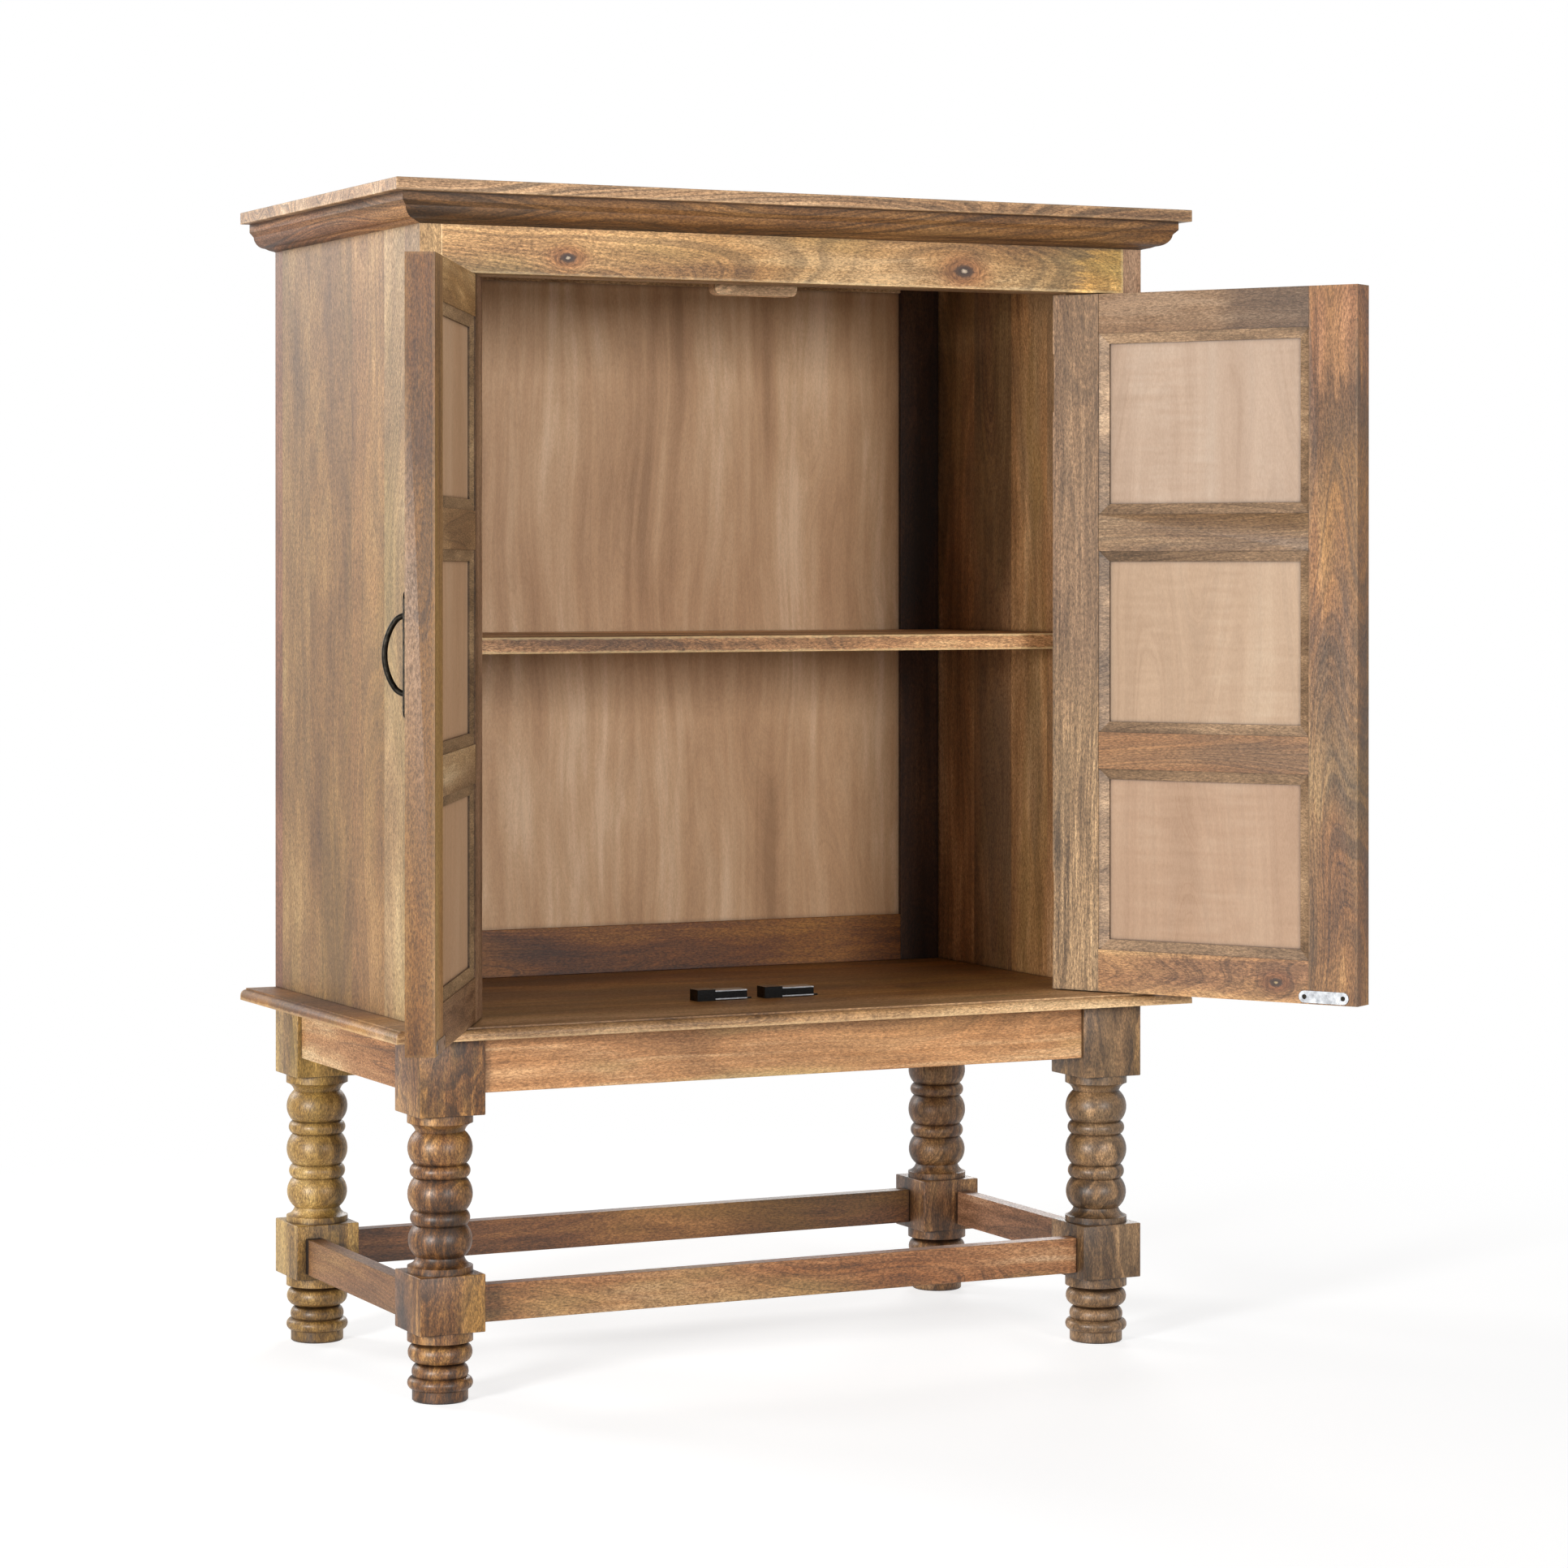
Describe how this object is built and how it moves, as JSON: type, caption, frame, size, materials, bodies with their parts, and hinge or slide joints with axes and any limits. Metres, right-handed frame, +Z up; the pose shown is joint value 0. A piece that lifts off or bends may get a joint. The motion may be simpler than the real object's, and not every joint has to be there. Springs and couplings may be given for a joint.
{
  "type": "trastero cabinet",
  "caption": "Two-door wooden cupboard with a moulded cornice, on a stand of turned legs joined by stretchers, doors standing open.",
  "frame": {"origin": "on the floor under the middle of the whole object's box with both doors open as pictured: midway between the two handles' outermost reach along X and midway between the left door's free corner and the cabinet's back along Y", "axes": "+Z up, -Y out of the doors' side, +X to the right for someone facing the open doors"},
  "size_m": [1.3626, 0.8742, 1.524],
  "materials": {
    "mango_wood": "waxed, satin",
    "mango_wood_dark": "waxed, satin",
    "mango_wood_orange": "waxed, satin",
    "pale_panel": "waxed, matte",
    "black_iron": "blackened, satin",
    "hinge_steel": "antiqued",
    "bright_steel": "zinc plated",
    "black_plastic": "moulded"
  },
  "bodies": {
    "cabinet": {"leg_front_left": "mango_wood_dark", "leg_front_right": "mango_wood_dark", "leg_back_left": "mango_wood_dark", "leg_back_right": "mango_wood_dark", "apron_front": "mango_wood_orange", "apron_back": "mango_wood_orange", "apron_left": "mango_wood_orange", "apron_right": "mango_wood_orange", "stretcher_front": "mango_wood_dark", "stretcher_back": "mango_wood_dark", "stretcher_left": "mango_wood_dark", "stretcher_right": "mango_wood_dark", "waist_board": "mango_wood", "side_left": "mango_wood", "side_right": "mango_wood", "jamb_left": "mango_wood", "jamb_right": "mango_wood", "head_rail": "mango_wood", "soffit_board": "mango_wood", "cornice_rail": "mango_wood", "cornice_board": "mango_wood", "crown_front": "mango_wood", "crown_left": "mango_wood", "crown_right": "mango_wood", "back_panel": "pale_panel", "back_stile_left": "mango_wood", "back_stile_right": "mango_wood", "back_rail_bottom": "mango_wood", "back_rail_top": "mango_wood", "shelf": "mango_wood", "door_stop_block": "mango_wood", "catch_housings": "black_plastic", "catch_pole_plates": "bright_steel", "hinge_leaves_frame": "hinge_steel", "hinge_pins": "hinge_steel", "frame_screws": "hinge_steel"},
    "left_door": {"left_door_hinge_stile": "mango_wood", "left_door_lock_stile": "mango_wood", "left_door_rail_bottom": "mango_wood", "left_door_rails_middle": "mango_wood", "left_door_rail_top": "mango_wood", "left_door_panels": "pale_panel", "left_door_beading": "mango_wood", "left_door_hinge_leaves": "hinge_steel", "left_door_screws": "black_iron", "left_handle": "black_iron", "left_handle_plate": "black_iron", "left_strike_plate": "bright_steel"},
    "right_door": {"right_door_hinge_stile": "mango_wood", "right_door_lock_stile": "mango_wood", "right_door_rail_bottom": "mango_wood", "right_door_rails_middle": "mango_wood", "right_door_rail_top": "mango_wood", "right_door_panels": "pale_panel", "right_door_beading": "mango_wood", "right_door_hinge_leaves": "hinge_steel", "right_door_screws": "black_iron", "right_handle": "black_iron", "right_handle_plate": "black_iron", "right_strike_plate": "bright_steel"}
  },
  "joints": [
    {"name": "left_door_hinge", "type": "hinge", "parent": "cabinet", "child": "left_door", "pos_m": [-0.45613, -0.02893, 0.94385], "axis": [0, 0, 1], "range_deg": [-3.4, 119.1]},
    {"name": "right_door_hinge", "type": "hinge", "parent": "cabinet", "child": "right_door", "pos_m": [0.43827, -0.02893, 0.94385], "axis": [0, 0, 1], "range_deg": [-122.1, 0.4]}
  ]
}
